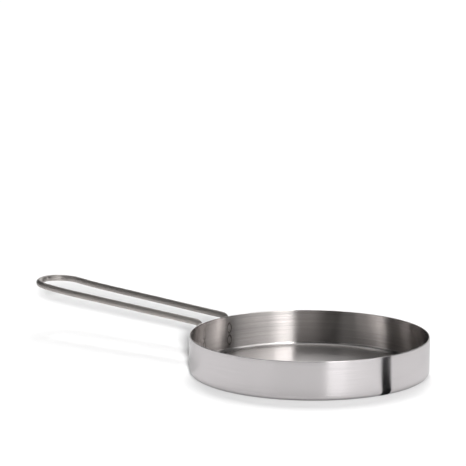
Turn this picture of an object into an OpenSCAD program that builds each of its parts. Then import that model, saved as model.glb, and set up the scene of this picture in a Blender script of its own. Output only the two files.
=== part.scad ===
// Omelette pan pressed from stainless steel sheet, with a loop handle bent from one steel wire.
// Millimetres. The origin is the centre of the base, on the surface that the pan stands on.
// +Z is up, and the handle reaches out along -X.

/* [Pan] */
// Outside diameter of the pan
pan_d = 220; // [160:1:300]
// Height of the rim above the surface
pan_h = 35.5; // [34:0.5:60]
// Thickness of the steel sheet
sheet_t = 1; // [0.8:0.1:2]
// Outside radius of the corner between base and wall
corner_r = 5; // [3:0.5:6]

/* [Handle] */
// Diameter of the wire
wire_d = 6; // [4:0.5:8]
// Distance between the two legs, centre to centre
leg_gap = 40; // [28:1:60]
// Distance between the two runs where the loop starts, centre to centre
loop_gap = 46; // [34:1:66]
// Distance from the legs to the start of the loop, seen from above
run_l = 194; // [120:1:260]
// How far the top of the wire stands above the rim at the legs
wire_over_rim = 2.5; // [1:0.5:8]
// Radius of the bend over the rim, on the centre line of the wire
rim_bend_r = 5.5; // [5:0.5:7]
// Angle at which the runs rise away from the pan
rise_a = 3.3; // [0:0.1:20]
// Angle by which the end of the grip is turned up further
lift_a = 1.8; // [0.2:0.1:6]
// Radius of the gentle bend that turns the end of the grip up
lift_bend_r = 600; // [200:10:1000]
// Distance from the corner of that gentle bend to the start of the loop
lift_l = 26; // [20:1:60]
// How much thicker the wire is where it is bent, all round
bend_swell = 0.05; // [0.04:0.01:0.1]
// Chamfer at the cut ends of the wire
end_chamfer = 0.5; // [0.2:0.1:1]

/* [Welds] */
// Gap between each leg and the wall, which the welds bridge
weld_gap = 0.3; // [0.2:0.05:0.6]
// Width of each weld
weld_w = 5; // [3:0.5:5]
// Height of each weld
weld_h = 9.5; // [6:0.5:10]
// Distance between the two welds of a leg, centre to centre
weld_pitch = 11.5; // [11:0.5:12.5]
// Distance from the rim down to the top of the upper weld
weld_drop = 7; // [6:0.5:8]
// Length of leg below its lower weld
leg_tail = 1.5; // [0.5:0.5:3]
// Depth of the mark that each weld leaves on the inside of the wall
mark_depth = 0.2; // [0.1:0.05:0.4]

/* [Hidden] */
// Each weld as [side of the handle, row down the leg]
weld_rows = 2;
weld_seats = [for (side = [-1, 1], row = [0 : weld_rows - 1]) [side, row]];
weld_names = [for (seat = weld_seats) str(seat[0] < 0 ? "weld_left_" : "weld_right_", seat[1] + 1)];

pan_r = pan_d / 2;
wire_r = wire_d / 2;
pan_fn = 180;
wire_fn = 48;
weld_pan_fn = 720;
weld_wire_fn = 180;
// Each straight reaches this far into the swell of the bend next to it
bend_lap = 0.5;

// Legs: their axis stands off the wall by half the wire and the weld's gap
leg_r = pan_r + weld_gap + wire_r;
leg_v = leg_gap / 2;
leg_x = sqrt(leg_r * leg_r - leg_v * leg_v);
leg_a = asin(leg_v / leg_r);
weld_top_z = pan_h - weld_drop - weld_h / 2;
leg_end_z = weld_top_z - (weld_rows - 1) * weld_pitch - weld_h / 2 - leg_tail;

// Runs: each lies in its own upright plane, turned out by the splay angle
splay_a = atan((loop_gap - leg_gap) / 2 / run_l);
run_s = run_l / cos(splay_a);
grip_a = rise_a + lift_a;
corner_z = pan_h + wire_over_rim - wire_r;
rim_turn_a = 90 - rise_a;
rim_tangent_l = rim_bend_r * tan(rim_turn_a / 2);
lift_tangent_l = lift_bend_r * tan(lift_a / 2);
lift_s = run_s - lift_l;

// Loop: it lies in the plane of the two grip ends and is tangent to both
loop_tilt_a = atan(tan(grip_a) / cos(splay_a));
loop_splay_a = asin(sin(splay_a) * cos(grip_a));
loop_r = loop_gap / 2 / cos(loop_splay_a);
loop_start_z = corner_z + lift_s * tan(rise_a) + lift_l * tan(grip_a);
loop_set_l = loop_r * sin(loop_splay_a);

// One half of the wire, from the cut end of its leg to the loop: [length], or [bend radius, angle]
wire_steps = [
    [corner_z - rim_tangent_l - leg_end_z - end_chamfer],
    [rim_bend_r, rim_turn_a],
    [lift_s / cos(rise_a) - rim_tangent_l - lift_tangent_l],
    [lift_bend_r, -lift_a],
    [lift_l / cos(grip_a) - lift_tangent_l]
];

// Half profile of the sheet: flat base, round corner, upright wall and rounded rim
module sheet_profile() {
    corner_x = pan_r - corner_r;
    rim_z = pan_h - sheet_t / 2;
    square([corner_x, sheet_t]);
    intersection() {
        translate([corner_x, corner_r])
            difference() {
                circle(r = corner_r);
                circle(r = corner_r - sheet_t);
            }
        translate([corner_x, 0])
            square(corner_r);
    }
    translate([pan_r - sheet_t, corner_r])
        square([sheet_t, rim_z - corner_r]);
    translate([pan_r - sheet_t / 2, rim_z])
        circle(d = sheet_t);
}

// Outline of a weld, upright, rounded at both ends
module weld_outline() {
    straight_l = weld_h - weld_w;
    square([straight_l, weld_w], center = true);
    for (end = [-1, 1])
        translate([end * straight_l / 2, 0])
            circle(d = weld_w);
}

// Puts the children at a weld, with +X pointing out of the wall there
module at_weld(seat) {
    rotate([0, 0, 180 + seat[0] * leg_a])
        translate([0, 0, weld_top_z - seat[1] * weld_pitch])
            children();
}

// A bar with the outline of a weld, between two distances from the axis of the pan
module weld_bar(from_r, to_r) {
    translate([from_r, 0, 0])
        rotate([0, 90, 0])
            linear_extrude(height = to_r - from_r)
                weld_outline();
}

// Pressed pan with the shallow marks of the welds on the inside of its wall
module pan_body() {
    color([0.80, 0.79, 0.78])
        difference() {
            rotate_extrude($fn = pan_fn)
                sheet_profile($fn = 48);
            for (seat = weld_seats)
                at_weld(seat)
                    intersection() {
                        weld_bar(pan_r - sheet_t - wire_d, pan_r, $fn = wire_fn);
                        translate([0, 0, -weld_h])
                            cylinder(r = pan_r - sheet_t + mark_depth, h = 2 * weld_h, $fn = pan_fn);
                    }
        }
}

// A bend that starts upwards and turns towards +X, or towards -X where the angle is negative
module wire_bend(bend_r, angle) {
    mirror([angle < 0 ? 1 : 0, 0, 0])
        translate([bend_r, 0, 0])
            rotate([90, 0, 0])
                rotate([0, 0, 180 - abs(angle)])
                    rotate_extrude(angle = abs(angle))
                        translate([bend_r, 0])
                            circle(r = wire_r + bend_swell);
}

// Lays the steps of a bent wire one after the other, each from the end of the last
module bent_wire(steps, i = 0) {
    if (i < len(steps)) {
        step = steps[i];
        if (len(step) == 1) {
            lap_before = i == 0 ? 0 : bend_lap;
            translate([0, 0, -lap_before])
                cylinder(d = wire_d, h = lap_before + step[0] + bend_lap);
            translate([0, 0, step[0]])
                bent_wire(steps, i + 1);
        } else {
            turn = step[1];
            across = sign(turn) * step[0] * (1 - cos(turn));
            wire_bend(step[0], turn);
            translate([across, 0, step[0] * sin(abs(turn))])
                rotate([0, turn, 0])
                    bent_wire(steps, i + 1);
        }
    }
}

// Handle: two legs, two bends over the rim, two runs and the loop that joins them, all one wire
module wire_handle() {
    loop_turn_a = 180 + 2 * loop_splay_a;
    color([0.62, 0.61, 0.60])
        rotate([0, 0, 180]) {
            for (side = [-1, 1])
                translate([leg_x, side * leg_v, leg_end_z])
                    rotate([0, 0, side * splay_a]) {
                        cylinder(d1 = wire_d - 2 * end_chamfer, d2 = wire_d, h = end_chamfer, $fn = wire_fn);
                        translate([0, 0, end_chamfer])
                            bent_wire(wire_steps, $fn = wire_fn);
                    }
            translate([leg_x + run_l, 0, loop_start_z])
                rotate([0, -loop_tilt_a, 0])
                    translate([loop_set_l, 0, 0])
                        rotate([0, 0, -loop_turn_a / 2])
                            rotate_extrude(angle = loop_turn_a, $fn = 96)
                                translate([loop_r, 0])
                                    circle(r = wire_r + bend_swell, $fn = wire_fn);
        }
}

// Weld metal that fills the gap between a leg and the wall
module weld_nugget(seat) {
    color([0.45, 0.42, 0.38])
        at_weld(seat)
            difference() {
                weld_bar(pan_r - sheet_t, leg_r, $fn = weld_wire_fn);
                translate([0, 0, -weld_h])
                    cylinder(r = pan_r, h = 2 * weld_h, $fn = weld_pan_fn);
                translate([leg_r, 0, -weld_h])
                    cylinder(d = wire_d, h = 2 * weld_h, $fn = weld_wire_fn);
            }
}

pan_body();
wire_handle();
for (i = [0 : len(weld_seats) - 1])
    weld_nugget(weld_seats[i]);
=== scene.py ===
"""Dresses an omelette pan and sets it on a pale studio floor.

The pan is a pressed stainless steel body, and its handle is bent from one wire that four welds hold.
"""

import math

import bmesh
import bpy
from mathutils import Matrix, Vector


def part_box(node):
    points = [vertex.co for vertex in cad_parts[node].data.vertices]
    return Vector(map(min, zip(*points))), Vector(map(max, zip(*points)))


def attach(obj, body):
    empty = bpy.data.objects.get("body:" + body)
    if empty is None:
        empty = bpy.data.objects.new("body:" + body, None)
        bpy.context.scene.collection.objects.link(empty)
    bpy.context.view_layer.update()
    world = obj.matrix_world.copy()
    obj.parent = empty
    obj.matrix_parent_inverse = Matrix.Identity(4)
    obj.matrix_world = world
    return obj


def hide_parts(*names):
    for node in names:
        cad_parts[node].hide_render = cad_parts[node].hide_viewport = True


bl_info = {
    "name": "Omelette Pan",
    "version": (1, 0, 0),
    "blender": (4, 5, 0),
    "location": "View3D > Sidebar > Omelette Pan",
    "description": "Builds the surfaces and finishes of a stainless steel omelette pan with a wire handle",
    "category": "Add Mesh",
}

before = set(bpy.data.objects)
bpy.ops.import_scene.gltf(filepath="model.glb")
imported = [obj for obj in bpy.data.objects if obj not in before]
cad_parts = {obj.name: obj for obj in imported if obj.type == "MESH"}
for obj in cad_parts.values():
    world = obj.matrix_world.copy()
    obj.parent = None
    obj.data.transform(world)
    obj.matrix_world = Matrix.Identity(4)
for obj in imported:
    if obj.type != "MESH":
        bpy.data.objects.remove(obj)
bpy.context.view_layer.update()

# The packed solids, before anything stands in for them
PAN_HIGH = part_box("pan_body")[1]
WIRE_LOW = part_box("wire_handle")[0]
BODY = "root"
WELD_NODES = sorted(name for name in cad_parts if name.startswith("weld_"))

MM = 0.001
PHOTO_PIXELS = 466
SENSOR_WIDTH = 36.0

# Slots of the pan body's materials
WALL, OUTSIDE, FLOOR = 0, 1, 2

# Where the lines of the floor's half section lie, as shares of its radius
FLOOR_RINGS = (0.01, 0.05, 0.2, 0.4, 0.6, 0.8, 0.93, 0.98)

# Steps of the pan's half section
COVE_STEPS = 16
WALL_STEPS = 60
RIM_STEPS = 14
OUTSIDE_STEPS = 8
CORNER_STEPS = 18

# Columns of faces round the pan, and from the middle of a weld mark to a little past its side
PAN_COLUMNS = 360
MARK_COLUMNS = 24
MARK_MARGIN = 1.2

# Radii of the half section that differ by less are one
SAME_PLACE = 0.01 * MM

# A weld mark: width of its sloping edge, dark ring just inside its outline, and faint halo on both sides
MARK_EDGE = 0.8 * MM
RING_INSET = 0.1 * MM
RING_WIDTH = 0.55 * MM
RING_STRENGTH = 0.95
HALO_OUTSIDE = 1.6 * MM
HALO_INSIDE = 0.4 * MM
HALO_STRENGTH = 0.15

# Parts of the range of a noise texture: nearly all of it, its steep middle, and its patchy lower middle
NOISE_WIDE = (0.3, 0.7)
NOISE_STEEP = (0.42, 0.58)
NOISE_PATCHY = (0.4, 0.55)

# Fine lines among the wide ones of ground steel, as shares of their width and length
FINE_WIDTH = 0.37
FINE_REACH = 0.6

# Patches of heat tint: their size, and how strong the tint is in the palest of them
TINT_PATCH = 2.2 * MM
TINT_LEAST = 0.65

# How far the roughness of ground sheet and of drawn wire strays to either side
SHEET_STRAY = 0.01
WIRE_STRAY = 0.04

# Depth of the die lines and of the pits in weld metal
DIE_LINE_DEPTH = 0.01 * MM
WELD_PIT_DEPTH = 0.05 * MM

# Turns the blur of a reflection, as a share of a full turn, so that it lies across the lines
BLUR_ACROSS = 0.25

# Steps in each bend of the wire, and sides of its section
BEND_STEPS = 40
WIRE_SIDES = 64

# A weld bead: how far round the wire it reaches, how hollow its fillets are, and its half width at the tips
BEAD_REACH = math.radians(46)
BEAD_HOLLOW = 0.25
BEAD_TIP = 0.05 * MM


def srgb(hex_colour):
    """Linear colour of an sRGB hex value, with an alpha of 1."""
    channels = [int(hex_colour[i:i + 2], 16) / 255 for i in (0, 2, 4)]
    linear = [c / 12.92 if c <= 0.04045 else ((c + 0.055) / 1.055) ** 2.4 for c in channels]
    return (*linear, 1.0)


class PanSettings(bpy.types.PropertyGroup):
    """Pressed body: sizes and colours"""

    radius: bpy.props.FloatProperty(
        name="Radius", description="Outside radius of the wall", default=PAN_HIGH.x, unit="LENGTH")
    height: bpy.props.FloatProperty(
        name="Height", description="Height of the rim above the surface", default=PAN_HIGH.z, unit="LENGTH")
    sheet: bpy.props.FloatProperty(
        name="Sheet", description="Thickness of the steel sheet", default=1 * MM, unit="LENGTH")
    corner: bpy.props.FloatProperty(
        name="Corner", description="Outside radius between base and wall", default=5 * MM, unit="LENGTH")
    mark_depth: bpy.props.FloatProperty(
        name="Mark depth", description="Depth of the weld marks inside the wall", default=0.2 * MM,
        unit="LENGTH")
    faint_marks: bpy.props.FloatProperty(
        name="Faint marks", description="Heat tint at the nearer leg, as a share of the other leg's",
        default=0.6, subtype="FACTOR")
    wall_colour: bpy.props.FloatVectorProperty(
        name="Wall colour", description="Steel of the ground inside wall", default=srgb("F0ECEA"), size=4,
        subtype="COLOR")
    floor_colour: bpy.props.FloatVectorProperty(
        name="Floor colour", description="Steel of the ground floor", default=srgb("CCC8C7"), size=4,
        subtype="COLOR")
    outside_colour: bpy.props.FloatVectorProperty(
        name="Outside colour", description="Steel of the satin outside", default=srgb("D4D0D1"), size=4,
        subtype="COLOR")
    scorch_colour: bpy.props.FloatVectorProperty(
        name="Scorch colour", description="Heat tint round the welds", default=srgb("4A403A"), size=4,
        subtype="COLOR")


class HandleSettings(bpy.types.PropertyGroup):
    """Bent wire: sizes on its centre line, and colour"""

    wire: bpy.props.FloatProperty(
        name="Wire", description="Diameter of the wire", default=6 * MM, unit="LENGTH")
    leg_gap: bpy.props.FloatProperty(
        name="Leg gap", description="Distance between the two legs", default=40 * MM, unit="LENGTH")
    loop_gap: bpy.props.FloatProperty(
        name="Loop gap", description="Distance between the runs at the loop", default=46 * MM,
        unit="LENGTH")
    run: bpy.props.FloatProperty(
        name="Run", description="Distance from the legs to the loop, seen from above", default=194 * MM,
        unit="LENGTH")
    wall_gap: bpy.props.FloatProperty(
        name="Wall gap", description="Gap between each leg and the wall", default=0.3 * MM, unit="LENGTH")
    over_rim: bpy.props.FloatProperty(
        name="Over rim", description="How far the wire stands above the rim at the legs", default=2.5 * MM,
        unit="LENGTH")
    rim_bend: bpy.props.FloatProperty(
        name="Rim bend", description="Radius of the bend over the rim", default=5.5 * MM, unit="LENGTH")
    rise: bpy.props.FloatProperty(
        name="Rise", description="Angle at which the runs leave the pan", default=math.radians(3.3),
        subtype="ANGLE")
    lift: bpy.props.FloatProperty(
        name="Lift", description="Angle by which the grip end turns up further", default=math.radians(1.8),
        subtype="ANGLE")
    lift_bend: bpy.props.FloatProperty(
        name="Lift bend", description="Radius of the bend that turns the grip end up", default=600 * MM,
        unit="LENGTH")
    lift_length: bpy.props.FloatProperty(
        name="Lift length", description="Distance from that bend to the loop", default=26 * MM,
        unit="LENGTH")
    chamfer: bpy.props.FloatProperty(
        name="Chamfer", description="Chamfer at the cut ends", default=0.5 * MM, unit="LENGTH")
    colour: bpy.props.FloatVectorProperty(
        name="Wire colour", description="Steel of the drawn wire", default=srgb("C9C3BF"), size=4,
        subtype="COLOR")


class WeldSettings(bpy.types.PropertyGroup):
    """Weld bead and its mark: sizes and colour"""

    width: bpy.props.FloatProperty(
        name="Width", description="Width of a weld along the wall", default=5 * MM, unit="LENGTH")
    height: bpy.props.FloatProperty(
        name="Height", description="Height of a weld", default=9.5 * MM, unit="LENGTH")
    colour: bpy.props.FloatVectorProperty(
        name="Weld colour", description="Steel of the weld metal", default=srgb("A39A90"), size=4,
        subtype="COLOR")
    tint: bpy.props.FloatVectorProperty(
        name="Weld tint", description="Straw-brown oxide on the weld metal", default=srgb("6E5A44"), size=4,
        subtype="COLOR")


class StudioSettings(bpy.types.PropertyGroup):
    """Camera and light"""

    distance: bpy.props.FloatProperty(
        name="Distance", description="From the middle of the rim to the camera", default=1.76,
        unit="LENGTH")
    azimuth: bpy.props.FloatProperty(
        name="Azimuth", description="Direction of the camera, turned from -Y towards +X",
        default=math.radians(35.25), subtype="ANGLE")
    elevation: bpy.props.FloatProperty(
        name="Elevation", description="Height of the camera over the rim", default=math.radians(12.39),
        subtype="ANGLE")
    heading: bpy.props.FloatProperty(
        name="Heading", description="Turn of the camera about the vertical", default=math.radians(37.58),
        subtype="ANGLE")
    tilt: bpy.props.FloatProperty(
        name="Tilt", description="How far the camera looks down", default=math.radians(9.38),
        subtype="ANGLE")
    focal_pixels: bpy.props.FloatProperty(
        name="Focal length", description="Focal length in pixels of the photograph", default=1918.9)
    ambient: bpy.props.FloatProperty(
        name="Ambient", description="Share of the floor's light that comes from all round", default=0.06,
        subtype="FACTOR")
    front_lamp: bpy.props.FloatProperty(
        name="Front lamp", description="Share of the floor's light that comes from low in front",
        default=0.655, subtype="FACTOR")
    top_lamp: bpy.props.FloatProperty(
        name="Top lamp", description="Share of the floor's light that comes from above and behind",
        default=0.45, subtype="FACTOR")
    ceiling: bpy.props.FloatProperty(
        name="Ceiling", description="Brightness of the ceiling right above the pan", default=0.7)
    flag_reach: bpy.props.FloatProperty(
        name="Flag reach", description="Length of the black card's tongue", default=90 * MM, unit="LENGTH")
    flag_height: bpy.props.FloatProperty(
        name="Flag height", description="Height of the black card's upright end", default=65 * MM,
        unit="LENGTH")
    card_reach: bpy.props.FloatProperty(
        name="Card reach", description="How far the grey card reaches out from the wall", default=45 * MM,
        unit="LENGTH")


GROUPS = {
    "omelette_pan": PanSettings,
    "omelette_handle": HandleSettings,
    "omelette_welds": WeldSettings,
    "omelette_studio": StudioSettings,
}


def add_node(tree, kind, inputs=None, **settings):
    """Adds a node, sets its own attributes, and feeds its inputs from sockets or with values."""
    node = tree.nodes.new(kind)
    for name, value in settings.items():
        setattr(node, name, value)
    for key, value in (inputs or {}).items():
        if isinstance(value, bpy.types.NodeSocket):
            tree.links.new(value, node.inputs[key])
        else:
            node.inputs[key].default_value = value
    return node


def new_material(name):
    """An empty node material and its output node."""
    material = bpy.data.materials.new(name)
    material.use_nodes = True
    tree = material.node_tree
    tree.nodes.clear()
    return material, tree, add_node(tree, "ShaderNodeOutputMaterial")


def round_streaks(tree, pitch, reach, detail):
    """Noise drawn out round the axis: pitch is the width of a streak, reach its length, in metres."""
    place = add_node(tree, "ShaderNodeTexCoord").outputs["Object"]
    parts = add_node(tree, "ShaderNodeSeparateXYZ", {0: place})
    flat = add_node(tree, "ShaderNodeCombineXYZ", {0: parts.outputs["X"], 1: parts.outputs["Y"]})
    radius = add_node(tree, "ShaderNodeVectorMath", {0: flat.outputs[0]}, operation="LENGTH")
    across = add_node(
        tree, "ShaderNodeMath", {0: radius.outputs["Value"], 1: parts.outputs["Z"]}, operation="SUBTRACT")
    along = add_node(
        tree, "ShaderNodeVectorMath", {0: flat.outputs[0], 1: (1 / reach, 1 / reach, 0)},
        operation="MULTIPLY")
    fine = add_node(tree, "ShaderNodeMath", {0: across.outputs[0], 1: 1 / pitch}, operation="MULTIPLY")
    split = add_node(tree, "ShaderNodeSeparateXYZ", {0: along.outputs[0]})
    vector = add_node(
        tree, "ShaderNodeCombineXYZ", {0: split.outputs["X"], 1: split.outputs["Y"], 2: fine.outputs[0]})
    noise = add_node(
        tree, "ShaderNodeTexNoise", {"Vector": vector.outputs[0], "Scale": 1.0, "Detail": detail})
    return noise.outputs["Fac"]


def ground_steel(
        name, colour, scorch, edge, roughness, one_way, streak, reach, wander, shade, groove,
        dull_below=0.0, fade=3 * MM, dull=1.0):
    """Stainless steel sheet ground while the pan turned, so that its lines run round the axis.

    scorch is the heat tint of the weld marks and edge tints what glances off the steel. one_way is how
    much more the lines blur across themselves than along. streak and reach are the width and length of a
    line, wander how far a line's lay strays sideways, shade how much lines differ in brightness and groove
    how deep they are. From the height dull_below down, over the distance fade, the steel is painted
    darker and darker, down to the share dull: a painted shade at the foot.
    """
    material, tree, output = new_material(name)
    wide = round_streaks(tree, streak, reach, 2.0)
    fine = round_streaks(tree, streak * FINE_WIDTH, reach * FINE_REACH, 3.0)
    both = add_node(tree, "ShaderNodeMix", {"Factor": 0.5, "A": wide, "B": fine}, data_type="FLOAT")
    tone = add_node(
        tree, "ShaderNodeMapRange",
        {"Value": both.outputs["Result"], "From Min": NOISE_STEEP[0], "From Max": NOISE_STEEP[1],
         "To Min": 1 - shade, "To Max": 1.0})
    place = add_node(tree, "ShaderNodeTexCoord").outputs["Object"]
    height = add_node(tree, "ShaderNodeSeparateXYZ", {0: place}).outputs["Z"]
    # Painted shade: below a given height the steel is painted darker and darker towards its foot
    skin = add_node(
        tree, "ShaderNodeMapRange",
        {"Value": height, "From Min": dull_below - fade, "From Max": dull_below, "To Min": dull})
    dulled = add_node(
        tree, "ShaderNodeMath", {0: tone.outputs[0], 1: skin.outputs[0]}, operation="MULTIPLY")

    # The heat tint is uneven, in patches
    mark = add_node(tree, "ShaderNodeAttribute", attribute_name="weld_mark")
    patch = add_node(tree, "ShaderNodeTexNoise", {"Vector": place, "Scale": 1 / TINT_PATCH, "Detail": 2.0})
    uneven = add_node(
        tree, "ShaderNodeMapRange",
        {"Value": patch.outputs["Fac"], "From Min": NOISE_PATCHY[0], "From Max": NOISE_PATCHY[1],
         "To Min": TINT_LEAST, "To Max": 1.0})
    scorched = add_node(
        tree, "ShaderNodeMath", {0: mark.outputs["Fac"], 1: uneven.outputs[0]}, operation="MULTIPLY")
    burnt = add_node(
        tree, "ShaderNodeMix",
        {"Factor": scorched.outputs[0], "A": colour, "B": scorch}, data_type="RGBA")
    shaded = add_node(
        tree, "ShaderNodeVectorMath", {0: burnt.outputs["Result"], 3: dulled.outputs[0]}, operation="SCALE")
    spread = add_node(
        tree, "ShaderNodeMapRange",
        {"Value": fine, "From Min": NOISE_WIDE[0], "From Max": NOISE_WIDE[1],
         "To Min": roughness - SHEET_STRAY, "To Max": roughness + SHEET_STRAY})

    # Neighbouring lines tilt a little to either side, which frays the edges of what the steel mirrors
    lay = add_node(tree, "ShaderNodeTangent", direction_type="RADIAL", axis="Z").outputs[0]
    stray = add_node(
        tree, "ShaderNodeMapRange",
        {"Value": fine, "From Min": NOISE_WIDE[0], "From Max": NOISE_WIDE[1],
         "To Min": -wander, "To Max": wander})
    sideways = add_node(
        tree, "ShaderNodeVectorMath", {0: lay, 3: stray.outputs[0]}, operation="SCALE")
    facing = add_node(tree, "ShaderNodeNewGeometry").outputs["Normal"]
    tilted = add_node(
        tree, "ShaderNodeVectorMath", {0: facing, 1: sideways.outputs[0]}, operation="ADD")
    normal = add_node(tree, "ShaderNodeVectorMath", {0: tilted.outputs[0]}, operation="NORMALIZE")
    bump = add_node(
        tree, "ShaderNodeBump",
        {"Height": fine, "Strength": 1.0, "Distance": groove, "Normal": normal.outputs[0]})
    shader = add_node(
        tree, "ShaderNodeBsdfPrincipled",
        {"Base Color": shaded.outputs[0], "Metallic": 1.0, "Roughness": spread.outputs[0],
         "Anisotropic": one_way, "Anisotropic Rotation": BLUR_ACROSS, "Specular Tint": edge,
         "Normal": bump.outputs[0], "Tangent": lay})
    tree.links.new(shader.outputs[0], output.inputs["Surface"])
    return material


def drawn_wire_steel(name, colour, roughness, line, stretch, length, start, end):
    """Drawn stainless wire, tumbled after bending, with faint lines along its length.

    line and stretch are the width and length of a line. start and end are how bright the steel is painted at
    the start and at the given length along the wire, with an even change between them: a painted shade.
    """
    material, tree, output = new_material(name)
    section = add_node(tree, "ShaderNodeAttribute", attribute_name="wire_section")
    along = add_node(tree, "ShaderNodeAttribute", attribute_name="wire_along")
    lay = add_node(
        tree, "ShaderNodeVectorMath", {0: section.outputs["Vector"], 1: (1 / line, 1 / line, 0)},
        operation="MULTIPLY")
    split = add_node(tree, "ShaderNodeSeparateXYZ", {0: lay.outputs[0]})
    slow = add_node(tree, "ShaderNodeMath", {0: along.outputs["Fac"], 1: 1 / stretch}, operation="MULTIPLY")
    vector = add_node(
        tree, "ShaderNodeCombineXYZ", {0: split.outputs["X"], 1: split.outputs["Y"], 2: slow.outputs[0]})
    lines = add_node(
        tree, "ShaderNodeTexNoise", {"Vector": vector.outputs[0], "Scale": 1.0, "Detail": 3.0})
    spread = add_node(
        tree, "ShaderNodeMapRange",
        {"Value": lines.outputs["Fac"], "From Min": NOISE_WIDE[0], "From Max": NOISE_WIDE[1],
         "To Min": roughness - WIRE_STRAY, "To Max": roughness + WIRE_STRAY})
    bump = add_node(
        tree, "ShaderNodeBump",
        {"Height": lines.outputs["Fac"], "Strength": 1.0, "Distance": DIE_LINE_DEPTH})
    # Painted shade: the steel is painted darker towards the start of the wire
    worn = add_node(
        tree, "ShaderNodeMapRange",
        {"Value": along.outputs["Fac"], "From Max": length, "To Min": start, "To Max": end})
    shaded = add_node(tree, "ShaderNodeVectorMath", {0: colour[:3], 3: worn.outputs[0]}, operation="SCALE")
    drawn = add_node(tree, "ShaderNodeAttribute", attribute_name="wire_lay")
    shader = add_node(
        tree, "ShaderNodeBsdfPrincipled",
        {"Base Color": shaded.outputs[0], "Metallic": 1.0, "Roughness": spread.outputs[0],
         "Anisotropic": 0.9, "Anisotropic Rotation": BLUR_ACROSS, "Normal": bump.outputs[0],
         "Tangent": drawn.outputs["Vector"]})
    tree.links.new(shader.outputs[0], output.inputs["Surface"])
    return material


def weld_steel(name, colour, tint, grain_size):
    """Weld metal with an uneven oxide tint, whose patches and pits have the size given."""
    material, tree, output = new_material(name)
    place = add_node(tree, "ShaderNodeTexCoord").outputs["Object"]
    grain = add_node(tree, "ShaderNodeTexNoise", {"Vector": place, "Scale": 1 / grain_size, "Detail": 3.0})
    tinted = add_node(
        tree, "ShaderNodeMix", {"Factor": grain.outputs["Fac"], "A": colour, "B": tint}, data_type="RGBA")
    bump = add_node(
        tree, "ShaderNodeBump",
        {"Height": grain.outputs["Fac"], "Strength": 1.0, "Distance": WELD_PIT_DEPTH})
    shader = add_node(
        tree, "ShaderNodeBsdfPrincipled",
        {"Base Color": tinted.outputs["Result"], "Metallic": 1.0, "Roughness": 0.5,
         "Normal": bump.outputs[0]})
    tree.links.new(shader.outputs[0], output.inputs["Surface"])
    return material


def arc(centre, radius, start, end, steps):
    """Points (r, z) on an arc in the pan's half section, angles in degrees, both ends included."""
    turns = [math.radians(start + (end - start) * i / steps) for i in range(steps + 1)]
    return [(centre[0] + radius * math.cos(t), centre[1] + radius * math.sin(t)) for t in turns]


def bridge(mesh, ring, other):
    """Joins two closed rings of vertices with a band of faces, which it returns."""
    count = len(ring)
    faces = []
    for j in range(count):
        k = (j + 1) % count
        faces.append(mesh.faces.new((ring[j], ring[k], other[k], other[j])))
    return faces


def smooth_mesh(mesh, name):
    """Turns the faces outwards, smooths them, and returns them as mesh data of that name."""
    bmesh.ops.recalc_face_normals(mesh, faces=mesh.faces)
    for face in mesh.faces:
        face.smooth = True
    data = bpy.data.meshes.new(name)
    mesh.to_mesh(data)
    mesh.free()
    return data


def weld_seats():
    """(angle round the axis, height) of each weld, from the packed solids."""
    seats = []
    for name in WELD_NODES:
        low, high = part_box(name)
        middle = (low + high) / 2
        seats.append((math.atan2(middle.y, middle.x), middle.z))
    return seats


def mark_shape(across, up, welds):
    """How deep a weld mark is at a place on the wall, from 0 outside it to 1 on its floor."""
    round_end = welds.width / 2
    straight = welds.height / 2 - round_end
    share = (round_end - math.hypot(across, max(abs(up) - straight, 0))) / MARK_EDGE
    share = min(max(share, 0), 1)
    return share * share * (3 - 2 * share)


def mark_scorch(across, up, welds):
    """How scorched the steel is there: a dark oval ring, a pale middle and a faint halo outside."""
    edge = welds.width / 2 - math.hypot(across, up * welds.width / welds.height)
    ring = RING_STRENGTH * math.exp(-((edge - RING_INSET) / RING_WIDTH) ** 2)
    halo = HALO_STRENGTH * math.exp(min(edge, 0) / HALO_OUTSIDE) * math.exp(-max(edge, 0) / HALO_INSIDE)
    return min(ring + halo, 1)


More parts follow.
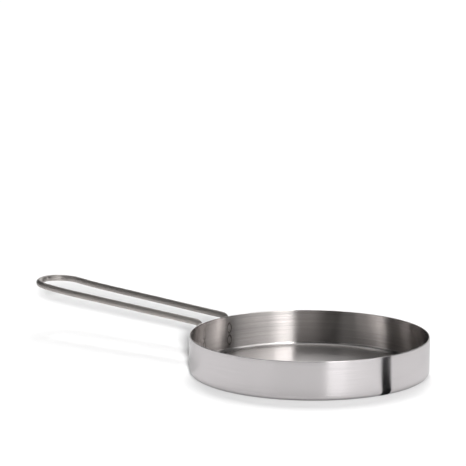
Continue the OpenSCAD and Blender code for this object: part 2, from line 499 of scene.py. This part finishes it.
class OMELETTEPAN_OT_pan_body(bpy.types.Operator):
    """Turn the pressed body with its rounded rim and the weld marks inside its wall"""

    bl_idname = "omelette_pan.pan_body"
    bl_label = "Pan body"

    def section(self, pan):
        """Half section from the middle of the floor, over the rim, to the middle of the underside.

        Returns its points, how many of them lie on the floor, and how many lie inside the pan.
        """
        wall_in = pan.radius - pan.sheet
        turn_x = pan.radius - pan.corner
        rim_z = pan.height - pan.sheet / 2
        floor = [(turn_x * share, pan.sheet) for share in FLOOR_RINGS]
        cove = arc((turn_x, pan.corner), pan.corner - pan.sheet, -90, 0, COVE_STEPS)
        rise = rim_z - pan.corner
        inner = [(wall_in, pan.corner + rise * i / WALL_STEPS) for i in range(1, WALL_STEPS)]
        rim = arc((pan.radius - pan.sheet / 2, rim_z), pan.sheet / 2, 180, 0, RIM_STEPS)
        outer = [(pan.radius, rim_z - rise * i / OUTSIDE_STEPS) for i in range(1, OUTSIDE_STEPS)]
        corner = arc((turn_x, pan.corner), pan.corner, 0, -90, CORNER_STEPS)
        base = [(r, 0.0) for r, _ in reversed(floor)]
        inside = len(floor) + len(cove) + len(inner) + RIM_STEPS // 2
        return floor + cove + inner + rim + outer + corner + base, len(floor), inside

    def columns(self, pan, welds, seats):
        """Angles of the columns of faces, close together where the weld marks are."""
        angles = {round(math.tau * i / PAN_COLUMNS, 6) for i in range(PAN_COLUMNS)}
        half = MARK_MARGIN * welds.width / pan.radius
        for angle, _ in seats:
            for i in range(-MARK_COLUMNS, MARK_COLUMNS + 1):
                angles.add(round((angle + half * i / MARK_COLUMNS) % math.tau, 6))
        return sorted(angles)

    def execute(self, context):
        pan = context.scene.omelette_pan
        welds = context.scene.omelette_welds
        seats = weld_seats()
        section, flat, inside = self.section(pan)
        columns = self.columns(pan, welds, seats)
        wall_in = pan.radius - pan.sheet

        mesh = bmesh.new()
        scorch = mesh.verts.layers.float.new("weld_mark")
        rings = []
        for i, (radius, z) in enumerate(section):
            ring = []
            for angle in columns:
                depth = 0.0
                dark = 0.0
                if abs(radius - wall_in) < SAME_PLACE and i < inside:
                    for seat_angle, seat_z in seats:
                        turn = (angle - seat_angle + math.pi) % math.tau - math.pi
                        depth = max(depth, mark_shape(turn * wall_in, z - seat_z, welds))
                        strength = 1.0 if math.sin(seat_angle) > 0 else pan.faint_marks
                        dark = max(dark, strength * mark_scorch(turn * wall_in, z - seat_z, welds))
                r = radius + depth * pan.mark_depth
                vert = mesh.verts.new((r * math.cos(angle), r * math.sin(angle), z))
                vert[scorch] = dark
                ring.append(vert)
            rings.append(ring)
        for i in range(len(rings) - 1):
            for face in bridge(mesh, rings[i], rings[i + 1]):
                face.material_index = FLOOR if i < flat else WALL if i < inside else OUTSIDE
        for ring, z, slot in ((rings[0], pan.sheet, FLOOR), (rings[-1], 0.0, OUTSIDE)):
            middle = mesh.verts.new((0, 0, z))
            for j in range(len(columns)):
                face = mesh.faces.new((ring[j], ring[(j + 1) % len(columns)], middle))
                face.material_index = slot
        data = smooth_mesh(mesh, "pan_body_dressed")
        body = bpy.data.objects.new("pan_body_dressed", data)
        context.collection.objects.link(body)

        # Chrome-nickel stainless steel, its wall ground with a belt of about 180 grit on the turning pan: a
        # bright warm grey that mirrors the room in upright bands with sharp sides, drawn out up and down and
        # crossed by level streaks. A real line is about 0.08 mm wide, too fine to show here, so it is drawn
        # 0.8 mm wide. The foot of the wall is painted darker, a painted shade.
        data.materials.append(ground_steel(
            "stainless_ground_wall", tuple(pan.wall_colour), tuple(pan.scorch_colour),
            edge=srgb("FFFFFF"), roughness=0.22, one_way=1.0, streak=0.8 * MM, reach=170 * MM,
            wander=0.003, shade=0.16, groove=0.004 * MM, dull_below=26 * MM, fade=20 * MM, dull=0.75))

        # The same sheet outside, satin finished with a fine fleece belt: an even, cool, pale grey that
        # mirrors the paper in front of it, with hardly any streak. The lines, 0.05 mm wide, are drawn 1.3 mm
        # wide. The foot of the corner is painted dark, a painted shade where the pan meets the paper.
        data.materials.append(ground_steel(
            "stainless_satin_outside", tuple(pan.outside_colour), tuple(pan.scorch_colour),
            edge=srgb("E2E2E2"), roughness=0.23, one_way=1.0, streak=1.3 * MM, reach=50 * MM,
            wander=0.005, shade=0.06, groove=0.003 * MM, dull_below=3.2 * MM, dull=0.25))

        # The same sheet on the floor of the pan, ground with a flat disc as it turned: rings instead of
        # streaks, a softer edge to each band and a darker tone than the wall. The 0.08 mm lines are drawn
        # 0.8 mm wide.
        data.materials.append(ground_steel(
            "stainless_ground_floor", tuple(pan.floor_colour), tuple(pan.scorch_colour),
            edge=srgb("FFFFFF"), roughness=0.3, one_way=0.8, streak=0.8 * MM, reach=120 * MM,
            wander=0.002, shade=0.12, groove=0.004 * MM))
        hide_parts("pan_body")
        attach(body, BODY)
        return {"FINISHED"}


def wire_corners(pan, handle):
    """Corners of the wire's centre line, each with the radius of its bend, from one cut end to the other."""
    wire_r = handle.wire / 2
    leg_r = pan.radius + handle.wall_gap + wire_r
    leg_y = handle.leg_gap / 2
    leg_x = -math.sqrt(leg_r ** 2 - leg_y ** 2)
    bend_z = pan.height + handle.over_rim - wire_r
    splay = math.atan((handle.loop_gap - handle.leg_gap) / 2 / handle.run)
    grip = handle.rise + handle.lift
    run_flat = handle.run / math.cos(splay)
    lift_flat = run_flat - handle.lift_length
    lift_z = bend_z + lift_flat * math.tan(handle.rise)
    loop_z = lift_z + handle.lift_length * math.tan(grip)

    loop_tilt = math.atan(math.tan(grip) / math.cos(splay))
    loop_splay = math.asin(math.sin(splay) * math.cos(grip))
    loop_r = handle.loop_gap / 2 / math.cos(loop_splay)
    reach = loop_r * (1 + math.sin(loop_splay))
    loop_y = handle.loop_gap / 2 + reach * math.tan(loop_splay)
    loop_x = leg_x - handle.run - reach * math.cos(loop_tilt)

    lift_x = leg_x - lift_flat * math.cos(splay)
    lift_y = leg_y + lift_flat * math.sin(splay)
    half = [
        (Vector((leg_x, leg_y, WIRE_LOW.z)), 0.0),
        (Vector((leg_x, leg_y, WIRE_LOW.z + handle.chamfer)), 0.0),
        (Vector((leg_x, leg_y, bend_z)), handle.rim_bend),
        (Vector((lift_x, lift_y, lift_z)), handle.lift_bend),
        (Vector((loop_x, loop_y, loop_z + reach * math.sin(loop_tilt))), loop_r),
    ]
    other = [(Vector((p.x, -p.y, p.z)), r) for p, r in reversed(half)]
    return half + other


def named_input(tree, name, kind, value=None):
    """Adds a named input to a geometry node tree, with a default where one is given."""
    socket = tree.interface.new_socket(name=name, in_out="INPUT", socket_type=kind)
    if value is not None:
        socket.default_value = value


def run_tree(obj, tree, values):
    """Runs a geometry node tree on an object and returns the result as a plain mesh object of that name."""
    modifier = obj.modifiers.new("build", "NODES")
    modifier.node_group = tree
    for item in tree.interface.items_tree:
        if item.name in values:
            modifier[item.identifier] = values[item.name]
    graph = bpy.context.evaluated_depsgraph_get()
    data = bpy.data.meshes.new_from_object(obj.evaluated_get(graph), depsgraph=graph)
    obj.modifiers.remove(modifier)
    name = obj.name
    bpy.data.objects.remove(obj)
    made = bpy.data.objects.new(name, data)
    data.name = name
    bpy.context.collection.objects.link(made)
    return made


def bent_wire_tree():
    """Rounds the corners of a centre line and sweeps a round section along it."""
    tree = bpy.data.node_groups.new("bent_wire", "GeometryNodeTree")
    named_input(tree, "Centre line", "NodeSocketGeometry")
    named_input(tree, "Wire radius", "NodeSocketFloat", 3 * MM)
    named_input(tree, "Chamfer", "NodeSocketFloat", 0.5 * MM)
    named_input(tree, "Steps in a bend", "NodeSocketInt", BEND_STEPS)
    named_input(tree, "Sides", "NodeSocketInt", WIRE_SIDES)
    named_input(tree, "Steel", "NodeSocketMaterial")
    tree.interface.new_socket(name="Wire", in_out="OUTPUT", socket_type="NodeSocketGeometry")
    given = add_node(tree, "NodeGroupInput").outputs
    bend = add_node(tree, "GeometryNodeInputRadius")
    rounded = add_node(
        tree, "GeometryNodeFilletCurve",
        {"Curve": given["Centre line"], "Count": given["Steps in a bend"],
         "Radius": bend.outputs["Radius"]},
        mode="POLY")
    along = add_node(tree, "GeometryNodeSplineParameter")
    measured = add_node(
        tree, "GeometryNodeStoreNamedAttribute",
        {"Geometry": rounded.outputs[0], "Name": "wire_along", "Value": along.outputs["Length"]},
        data_type="FLOAT")
    lay = add_node(tree, "GeometryNodeInputTangent")
    kept = add_node(
        tree, "GeometryNodeStoreNamedAttribute",
        {"Geometry": measured.outputs[0], "Name": "wire_lay", "Value": lay.outputs[0]},
        data_type="FLOAT_VECTOR")
    ends = add_node(tree, "GeometryNodeCurveEndpointSelection", {"Start Size": 1, "End Size": 1})
    share = add_node(
        tree, "ShaderNodeMath", {0: given["Chamfer"], 1: given["Wire radius"]}, operation="DIVIDE")
    narrow = add_node(tree, "ShaderNodeMath", {0: 1.0, 1: share.outputs[0]}, operation="SUBTRACT")
    width = add_node(
        tree, "GeometryNodeSwitch",
        {"Switch": ends.outputs[0], "False": 1.0, "True": narrow.outputs[0]}, input_type="FLOAT")
    circle = add_node(
        tree, "GeometryNodeCurvePrimitiveCircle",
        {"Resolution": given["Sides"], "Radius": given["Wire radius"]}, mode="RADIUS")
    place = add_node(tree, "GeometryNodeInputPosition")
    profile = add_node(
        tree, "GeometryNodeStoreNamedAttribute",
        {"Geometry": circle.outputs["Curve"], "Name": "wire_section", "Value": place.outputs[0]},
        data_type="FLOAT_VECTOR")
    swept = add_node(
        tree, "GeometryNodeCurveToMesh",
        {"Curve": kept.outputs[0], "Profile Curve": profile.outputs[0], "Scale": width.outputs[0],
         "Fill Caps": True})
    smooth = add_node(
        tree, "GeometryNodeSetShadeSmooth", {"Geometry": swept.outputs[0], "Shade Smooth": True})
    single = add_node(tree, "GeometryNodeRealizeInstances", {0: smooth.outputs[0]})
    steel = add_node(
        tree, "GeometryNodeSetMaterial", {"Geometry": single.outputs[0], "Material": given["Steel"]})
    add_node(tree, "NodeGroupOutput", {"Wire": steel.outputs[0]})
    return tree


class OMELETTEPAN_OT_wire_handle(bpy.types.Operator):
    """Bend the handle from one wire: two legs, two bends over the rim, two runs and a loop"""

    bl_idname = "omelette_pan.wire_handle"
    bl_label = "Wire handle"

    def execute(self, context):
        pan = context.scene.omelette_pan
        handle = context.scene.omelette_handle
        corners = wire_corners(pan, handle)
        line = bpy.data.curves.new("wire_handle_dressed", "CURVE")
        line.dimensions = "3D"
        spline = line.splines.new("POLY")
        spline.points.add(len(corners) - 1)
        for point, (place, bend) in zip(spline.points, corners):
            point.co = (*place, 1)
            point.radius = bend
        path = bpy.data.objects.new("wire_handle_dressed", line)
        context.collection.objects.link(path)

        # Chrome-nickel stainless wire, drawn through a die and tumbled once bent: a half-matt, browner grey
        # than the sheet, with soft lights that run along it. Its die lines, 0.1 mm wide, are drawn 1.1 mm
        # wide. The far run looks duller than the near one in the photo, so the steel is painted darker
        # towards the far leg: a painted shade.
        steel = drawn_wire_steel(
            "stainless_drawn_wire", tuple(handle.colour), roughness=0.5, line=1.1 * MM, stretch=40 * MM,
            length=0.53, start=0.64, end=1.0)
        wire = run_tree(path, bent_wire_tree(), {
            "Wire radius": handle.wire / 2, "Chamfer": handle.chamfer, "Steps in a bend": BEND_STEPS,
            "Sides": WIRE_SIDES, "Steel": steel})
        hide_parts("wire_handle")
        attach(wire, BODY)
        return {"FINISHED"}


def weld_bead(pan, handle, welds):
    """Mesh of one bead between wall and leg, with the wall at x = 0 and hollow fillets beside the wire."""
    wire_r = handle.wire / 2
    leg = handle.wall_gap + wire_r
    rows = 16
    points = 10
    front_points = 6
    mesh = bmesh.new()
    rings = []
    for i in range(rows + 1):
        turn = math.pi * i / rows
        z = -welds.height / 2 * math.cos(turn)
        straight = welds.height / 2 - welds.width / 2
        end = max(abs(z) - straight, 0) / (welds.width / 2)
        half = max(welds.width / 2 * math.sqrt(max(1 - end ** 2, 0)), BEAD_TIP)
        touch = min(half, wire_r * math.sin(BEAD_REACH))
        wire_x = leg - math.sqrt(wire_r ** 2 - touch ** 2)
        side = []
        for j in range(points + 1):
            share = j / points
            y = half + (touch - half) * share
            hollow = BEAD_HOLLOW * wire_x * math.sin(math.pi * share)
            side.append((max(wire_x * share - hollow, 0), y))
        front = []
        for k in range(front_points - 1, -front_points, -1):
            y = touch * k / front_points
            front.append((leg - math.sqrt(wire_r ** 2 - y ** 2), y))
        outline = side + front + [(x, -y) for x, y in reversed(side)]
        ring = []
        for x, y in outline:
            wall = math.sqrt(pan.radius ** 2 - y ** 2) - pan.radius
            ring.append(mesh.verts.new((max(x, wall), y, z)))
        rings.append(ring)
    for i in range(rows):
        bridge(mesh, rings[i], rings[i + 1])
    mesh.faces.new(list(reversed(rings[0])))
    mesh.faces.new(rings[-1])
    return smooth_mesh(mesh, "weld_bead")


def bead_tree():
    """Puts a bead at each point, turned by the point's own angle."""
    tree = bpy.data.node_groups.new("weld_beads", "GeometryNodeTree")
    named_input(tree, "Seats", "NodeSocketGeometry")
    named_input(tree, "Bead", "NodeSocketObject")
    named_input(tree, "Steel", "NodeSocketMaterial")
    tree.interface.new_socket(name="Beads", in_out="OUTPUT", socket_type="NodeSocketGeometry")
    given = add_node(tree, "NodeGroupInput").outputs
    bead = add_node(tree, "GeometryNodeObjectInfo", {"Object": given["Bead"]})
    turn = add_node(tree, "GeometryNodeInputNamedAttribute", {"Name": "turn"}, data_type="FLOAT")
    facing = add_node(tree, "ShaderNodeCombineXYZ", {2: turn.outputs["Attribute"]})
    placed = add_node(
        tree, "GeometryNodeInstanceOnPoints",
        {"Points": given["Seats"], "Instance": bead.outputs["Geometry"], "Rotation": facing.outputs[0]})
    single = add_node(tree, "GeometryNodeRealizeInstances", {0: placed.outputs[0]})
    steel = add_node(
        tree, "GeometryNodeSetMaterial", {"Geometry": single.outputs[0], "Material": given["Steel"]})
    add_node(tree, "NodeGroupOutput", {"Beads": steel.outputs[0]})
    return tree


class OMELETTEPAN_OT_weld_beads(bpy.types.Operator):
    """Lay the four weld beads between the legs and the wall"""

    bl_idname = "omelette_pan.weld_beads"
    bl_label = "Weld beads"

    def execute(self, context):
        pan = context.scene.omelette_pan
        handle = context.scene.omelette_handle
        welds = context.scene.omelette_welds
        pattern = bpy.data.objects.new("weld_pattern", weld_bead(pan, handle, welds))
        context.collection.objects.link(pattern)
        seats = weld_seats()
        points = bpy.data.meshes.new("weld_beads_dressed")
        points.from_pydata(
            [(pan.radius * math.cos(a), pan.radius * math.sin(a), z) for a, z in seats], [], [])
        turns = points.attributes.new("turn", "FLOAT", "POINT")
        for item, (angle, _) in zip(turns.data, seats):
            item.value = angle
        holder = bpy.data.objects.new("weld_beads_dressed", points)
        context.collection.objects.link(holder)

        # Resistance-welded stainless steel, not pickled: matt, pitted and straw-brown where it was hot, with
        # a grain of about 1 mm
        steel = weld_steel("stainless_weld_metal", tuple(welds.colour), tuple(welds.tint), 1.1 * MM)
        beads = run_tree(holder, bead_tree(), {"Bead": pattern, "Steel": steel})
        bpy.data.objects.remove(pattern)
        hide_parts(*WELD_NODES)
        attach(beads, BODY)
        return {"FINISHED"}


def seen_white(tree):
    """1 for what the camera sees itself or in metal and glass, 0 for other rays."""
    path = add_node(tree, "ShaderNodeLightPath").outputs
    first = add_node(
        tree, "ShaderNodeMath", {0: path["Is Camera Ray"], 1: path["Is Glossy Ray"]}, operation="MAXIMUM")
    seen = add_node(
        tree, "ShaderNodeMath", {0: first.outputs[0], 1: path["Is Transmission Ray"]}, operation="MAXIMUM")
    return seen.outputs[0]


# What the steel mirrors round the room: (bearing, brightness low down, higher up, overhead), with bearings
# in degrees from the camera's own direction, to the right as the camera sees it, and 1 for white paper
ROOM_TONES = (
    (-180, 1.2, 1.9, 0.8),  # white wall behind the pan
    (-168, 0.8, 1.4, 0.6),
    (-160, 0.0, 0.0, 0.0),
    (-135, 0.05, 0.0, 0.6),
    (-110, 0.1, 0.0, 0.9),
    (-86, 0.15, 0.0, 0.8),
    (-82, 0.24, 0.0, 0.35),  # bounce card on the left
    (-71, 0.16, 0.0, 0.2),
    (-62, 0.16, 0.0, 0.2),
    (-45, 0.28, 0.14, 0.25),
    (-35, 0.24, 0.17, 0.25),
    (-31, 0.0, 0.0, 0.25),  # the dark side of the room, behind the camera
    (6, 0.0, 0.0, 0.25),
    (12, 0.1, 0.0, 0.25),
    (16.5, 0.6, 0.0, 0.25),
    (18.5, 1.4, 5.1, 0.25),  # soft box
    (24, 1.6, 5.1, 0.25),
    (34, 1.4, 5.1, 0.25),
    (35.7, 1.25, 3.3, 0.25),  # wall beside the soft box, lit by it
    (40, 1.0, 2.75, 0.2),
    (60, 0.65, 1.55, 0.12),
    (68, 0.6, 1.3, 0.12),
    (77, 0.55, 1.5, 0.12),
    (83, 0.5, 1.4, 0.12),
    (86, 0.15, 0.1, 0.12),
    (112, 0.12, 0.05, 0.12),
    (150, 0.1, 0.2, 0.3),
    (168, 0.8, 1.4, 0.6),
    (180, 1.2, 1.9, 0.8),
)
ROOM_PEAK = 5.2

# (column of ROOM_TONES, height where it starts to show, height from which it shows alone), and the same for
# the plain ceiling, with heights as shares of the room's radius
ROOM_BANDS = ((1, 0, 0), (2, 0.15, 0.47), (3, 0.7, 0.82))
CEILING_BAND = (0.9, 0.94)

# (bearing, height, spread) of each lamp, in degrees
FRONT_LAMP = (6.7, 13.6, 5.5)
TOP_LAMP = (180, 53, 28)

# (bearing of its foot at the pan, bearing in which it runs away) of each side of the black card, in degrees
FLAG_SIDES = ((34.4, 71), (39.7, 82))

# (bearing of its near side, bearing of its far side) of the grey card of painted shade, in degrees
CARD_SIDES = (-86, -130)


def tone_ramp(tree, place, tones):
    """Brightness by bearing, from (bearing, brightness) pairs."""
    ramp = add_node(tree, "ShaderNodeValToRGB", {"Fac": place})
    stops = ramp.color_ramp.elements
    for _ in tones[2:]:
        stops.new(0.5)
    for stop, (bearing, tone) in zip(stops, tones):
        stop.position = (bearing + 180) / 360
        stop.color = (tone / ROOM_PEAK, tone / ROOM_PEAK, tone / ROOM_PEAK, 1)
    return ramp.outputs["Color"]


def room_light(name, camera_bearing, reach, ceiling):
    """Light of the room by bearing in three bands, one above the other, under a plain ceiling."""
    material, tree, output = new_material(name)
    place = add_node(tree, "ShaderNodeTexCoord").outputs["Object"]
    parts = add_node(tree, "ShaderNodeSeparateXYZ", {0: place})
    angle = add_node(
        tree, "ShaderNodeMath", {0: parts.outputs["Y"], 1: parts.outputs["X"]}, operation="ARCTAN2")
    share = add_node(
        tree, "ShaderNodeMath",
        {0: angle.outputs[0], 1: 1 / math.tau, 2: 0.5 - camera_bearing / math.tau},
        operation="MULTIPLY_ADD")
    wrapped = add_node(tree, "ShaderNodeMath", {0: share.outputs[0], 1: 0.0, 2: 1.0}, operation="WRAP")
    strength = None
    for band, start, end in ROOM_BANDS:
        tone = tone_ramp(tree, wrapped.outputs[0], [(row[0], row[band]) for row in ROOM_TONES])
        if strength is None:
            strength = tone
            continue
        climb = add_node(
            tree, "ShaderNodeMapRange",
            {"Value": parts.outputs["Z"], "From Min": start * reach, "From Max": end * reach})
        strength = add_node(
            tree, "ShaderNodeMix", {"Factor": climb.outputs[0], "A": strength, "B": tone},
            data_type="FLOAT").outputs["Result"]
    walls = add_node(tree, "ShaderNodeMath", {0: strength, 1: ROOM_PEAK}, operation="MULTIPLY")
    over = add_node(
        tree, "ShaderNodeMapRange",
        {"Value": parts.outputs["Z"], "From Min": CEILING_BAND[0] * reach,
         "From Max": CEILING_BAND[1] * reach})
    bright = add_node(
        tree, "ShaderNodeMix", {"Factor": over.outputs[0], "A": walls.outputs[0], "B": ceiling},
        data_type="FLOAT")
    shader = add_node(
        tree, "ShaderNodeEmission", {"Color": (1, 1, 1, 1), "Strength": bright.outputs["Result"]})
    tree.links.new(shader.outputs[0], output.inputs["Surface"])
    return material


def matt_paper(name, colour):
    """Uncoated paper or card, which scatters light evenly and shows no highlight."""
    material, tree, output = new_material(name)
    shader = add_node(tree, "ShaderNodeBsdfDiffuse", {"Color": colour})
    tree.links.new(shader.outputs[0], output.inputs["Surface"])
    return material


def stage_mesh(name, points, faces, material, only_mirrored):
    """Adds a stage mesh; one that is only mirrored shows in steel, and neither lights nor shades a thing."""
    data = bpy.data.meshes.new(name)
    data.from_pydata(points, [], faces)
    data.materials.append(material)
    for face in data.polygons:
        face.use_smooth = only_mirrored
    thing = bpy.data.objects.new(name, data)
    bpy.context.collection.objects.link(thing)
    if only_mirrored:
        thing.visible_camera = False
        thing.visible_diffuse = False
        thing.visible_shadow = False
    return thing


def towards(bearing, studio):
    """Level unit vector at a bearing in degrees to the right of the camera's direction."""
    angle = math.atan2(-math.cos(studio.azimuth), math.sin(studio.azimuth)) + math.radians(bearing)
    return Vector((math.cos(angle), math.sin(angle), 0))


class OMELETTEPAN_OT_studio(bpy.types.Operator):
    """Set the pale floor, the soft light and the camera"""

    bl_idname = "omelette_pan.studio"
    bl_label = "Studio"

    def floor(self):
        """White paper just under the pan's base, out to where it meets the white behind it."""
        reach = 12.0
        under = -0.1 * MM
        turns = ((-1, -1), (1, -1), (1, 1), (-1, 1))
        corners = [(reach * x, reach * y, under) for x, y in turns]

        # Seamless white paper, which keeps the pan's shadows
        paper = matt_paper("white_paper", srgb("F5F5F5"))
        stage_mesh("studio_floor", corners, [(0, 1, 2, 3)], paper, False)

    def room(self, studio):
        """A dome round the table, seen only in the steel."""
        reach = 4.0
        columns = 72
        rows = 12

        # The dome stops just short of its pole
        closed = 0.998
        points = []
        for i in range(rows + 1):
            up = math.pi / 2 * i / rows * closed
            for j in range(columns):
                turn = math.tau * j / columns
                points.append((
                    reach * math.cos(up) * math.cos(turn), reach * math.cos(up) * math.sin(turn),
                    reach * math.sin(up)))
        faces = [
            (i * columns + j, i * columns + (j + 1) % columns,
             (i + 1) * columns + (j + 1) % columns, (i + 1) * columns + j)
            for i in range(rows) for j in range(columns)]
        bearing = towards(0, studio)
        light = room_light("studio_room", math.atan2(bearing.y, bearing.x), reach, studio.ceiling)
        stage_mesh("studio_room", points, faces, light, True)

    def flag(self, pan, studio):
        """A black card beside the pan: a flat tongue that widens away from the wall, and an upright end."""
        # The tongue starts under the corner of the pan
        foot_radius = pan.radius - 0.8 * pan.corner
        sides = []
        for foot, run in FLAG_SIDES:
            near = towards(foot, studio) * foot_radius
            sides.append((near, near + towards(run, studio) * studio.flag_reach))
        (near_left, far_left), (near_right, far_right) = sides
        up = Vector((0, 0, studio.flag_height))
        points = [near_left, near_right, far_right, far_left, far_left + up, far_right + up]
        faces = [(0, 1, 2, 3), (3, 2, 5, 4)]

        # Card flocked in black, which swallows the light
        black = matt_paper("black_card", srgb("050505"))
        card = stage_mesh("studio_flag", [tuple(p) for p in points], faces, black, True)
        for face in card.data.polygons:
            face.use_smooth = False

    def card(self, pan, studio):
        """A grey card flat on the paper, seen only in steel: a painted shade that darkens the outside at the
        pan's left limb.
        """
        start, end = CARD_SIDES
        steps = 8
        points = []
        for i in range(steps + 1):
            out = towards(start + (end - start) * i / steps, studio)
            points.append(tuple(out * (pan.radius - pan.corner)))
            points.append(tuple(out * (pan.radius + studio.card_reach)))
        faces = [(2 * i, 2 * i + 1, 2 * i + 3, 2 * i + 2) for i in range(steps)]

        # Pale grey card, darker than the paper it lies on: a painted shade on the paper, mirrored in the
        # steel
        grey = matt_paper("grey_card", srgb("D4D4D4"))
        stage_mesh("studio_card", points, faces, grey, True)

    def lamp(self, name, bearing, elevation, spread, share, studio):
        """A distant soft light that gives a share of the floor's brightness and is not mirrored."""
        data = bpy.data.lights.new(name, "SUN")
        data.angle = math.radians(spread)
        up = math.radians(elevation)
        data.energy = share * math.pi / math.sin(up)
        lamp = bpy.data.objects.new(name, data)
        towards_lamp = towards(bearing, studio) * math.cos(up) + Vector((0, 0, math.sin(up)))
        lamp.rotation_euler = towards_lamp.to_track_quat("Z", "Y").to_euler()
        lamp.visible_glossy = False
        bpy.context.collection.objects.link(lamp)

    def execute(self, context):
        pan = context.scene.omelette_pan
        studio = context.scene.omelette_studio
        self.floor()
        self.room(studio)
        self.flag(pan, studio)
        self.card(pan, studio)
        self.lamp("studio_front_lamp", *FRONT_LAMP, studio.front_lamp, studio)
        self.lamp("studio_top_lamp", *TOP_LAMP, studio.top_lamp, studio)

        world = bpy.data.worlds.new("studio")
        context.scene.world = world
        world.use_nodes = True
        tree = world.node_tree
        tree.nodes.clear()
        strength = add_node(
            tree, "ShaderNodeMix",
            {"Factor": seen_white(tree), "A": studio.ambient, "B": 1.0}, data_type="FLOAT")
        light = add_node(
            tree, "ShaderNodeBackground", {"Color": (1, 1, 1, 1), "Strength": strength.outputs["Result"]})
        add_node(tree, "ShaderNodeOutputWorld", {"Surface": light.outputs[0]})

        camera_data = bpy.data.cameras.new("camera")
        camera_data.sensor_width = SENSOR_WIDTH
        camera_data.lens = studio.focal_pixels * camera_data.sensor_width / PHOTO_PIXELS
        camera = bpy.data.objects.new("camera", camera_data)
        context.collection.objects.link(camera)
        flat = math.cos(studio.elevation)
        away = towards(0, studio) * flat + Vector((0, 0, math.sin(studio.elevation)))
        camera.location = Vector((0, 0, pan.height)) + away * studio.distance
        camera.rotation_euler = (math.pi / 2 - studio.tilt, 0, studio.heading)
        context.scene.camera = camera
        context.scene.view_settings.view_transform = "Standard"
        return {"FINISHED"}


class OMELETTEPAN_PT_panel(bpy.types.Panel):
    """Lists the steps that build the pan"""

    bl_label = "Omelette Pan"
    bl_space_type = "VIEW_3D"
    bl_region_type = "UI"
    bl_category = "Omelette Pan"

    def draw(self, context):
        for step in STEPS:
            self.layout.operator(step.bl_idname)
        for name, group in GROUPS.items():
            box = self.layout.box()
            box.label(text=group.__doc__)
            for field in group.__annotations__:
                box.prop(getattr(context.scene, name), field)


STEPS = (
    OMELETTEPAN_OT_pan_body,
    OMELETTEPAN_OT_wire_handle,
    OMELETTEPAN_OT_weld_beads,
    OMELETTEPAN_OT_studio,
)


def register():
    for cls in (*GROUPS.values(), *STEPS, OMELETTEPAN_PT_panel):
        bpy.utils.register_class(cls)
    for name, group in GROUPS.items():
        setattr(bpy.types.Scene, name, bpy.props.PointerProperty(type=group))


def unregister():
    for name in GROUPS:
        delattr(bpy.types.Scene, name)
    for cls in reversed((*GROUPS.values(), *STEPS, OMELETTEPAN_PT_panel)):
        bpy.utils.unregister_class(cls)


def main():
    """Builds every piece in order."""
    register()
    bpy.ops.omelette_pan.pan_body()
    bpy.ops.omelette_pan.wire_handle()
    bpy.ops.omelette_pan.weld_beads()
    bpy.ops.omelette_pan.studio()


if __name__ == "__main__":
    main()
